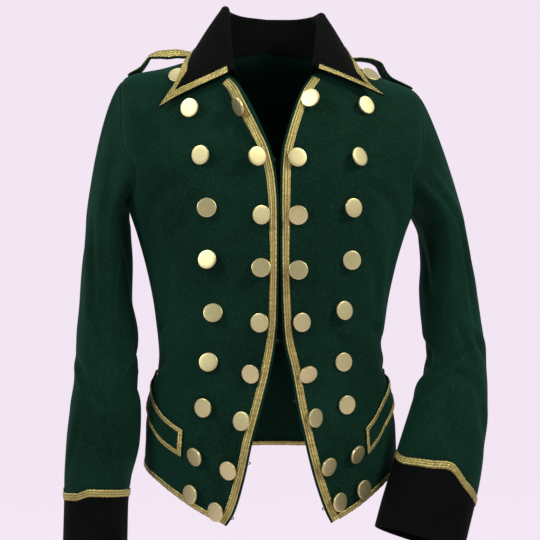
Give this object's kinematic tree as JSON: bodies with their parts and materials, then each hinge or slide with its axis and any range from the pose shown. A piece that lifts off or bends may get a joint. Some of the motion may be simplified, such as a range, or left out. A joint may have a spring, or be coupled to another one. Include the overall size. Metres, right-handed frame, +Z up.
{
  "type": "military jacket",
  "caption": "Cut-away military jacket worn open: gold-laced wool fronts with rows of flat brass buttons, velvet stand-and-fall collar, arched shoulder straps and laced cuffs.",
  "frame": {"origin": "middle of the neck opening, level with the points where the shoulder seams meet the neck edge", "axes": "+Z up, the jacket's front faces -Y, and the wearer's left is +X"},
  "size_m": [0.5798, 0.2701, 0.7528],
  "materials": {
    "wool": "matte bottle-green wool with a close nap",
    "velvet": "deep black pile with a soft sheen",
    "lace": "woven metallic gold thread, crinkled",
    "brass": "pale, lightly brushed"
  },
  "bodies": {
    "root": {"front_right": "wool", "front_left": "wool", "back_right": "wool", "back_left": "wool", "sleeve_right": "wool", "sleeve_left": "wool", "strap_right": "wool", "strap_left": "wool", "pocket_flap_right": "wool", "pocket_flap_left": "wool", "collar": "velvet", "cuff_right": "velvet", "cuff_left": "velvet", "collar_lace": "lace", "edge_lace_right": "lace", "edge_lace_left": "lace", "cuff_lace_right": "lace", "cuff_lace_left": "lace", "strap_lace_right": "lace", "strap_lace_left": "lace", "pocket_lace_right": "lace", "pocket_lace_left": "lace", "button_right_outer_01": "brass", "button_right_outer_02": "brass", "button_right_outer_03": "brass", "button_right_outer_04": "brass", "button_right_outer_05": "brass", "button_right_outer_06": "brass", "button_right_outer_07": "brass", "button_right_outer_08": "brass", "button_right_outer_09": "brass", "button_right_outer_10": "brass", "button_right_inner_01": "brass", "button_right_inner_02": "brass", "button_right_inner_03": "brass", "button_right_inner_04": "brass", "button_right_inner_05": "brass", "button_right_inner_06": "brass", "button_right_inner_07": "brass", "button_right_inner_08": "brass", "button_right_inner_09": "brass", "button_left_outer_01": "brass", "button_left_outer_02": "brass", "button_left_outer_03": "brass", "button_left_outer_04": "brass", "button_left_outer_05": "brass", "button_left_outer_06": "brass", "button_left_outer_07": "brass", "button_left_outer_08": "brass", "button_left_outer_09": "brass", "button_left_outer_10": "brass", "button_left_inner_01": "brass", "button_left_inner_02": "brass", "button_left_inner_03": "brass", "button_left_inner_04": "brass", "button_left_inner_05": "brass", "button_left_inner_06": "brass", "button_left_inner_07": "brass", "button_left_inner_08": "brass", "button_left_inner_09": "brass"}
  },
  "joints": []
}
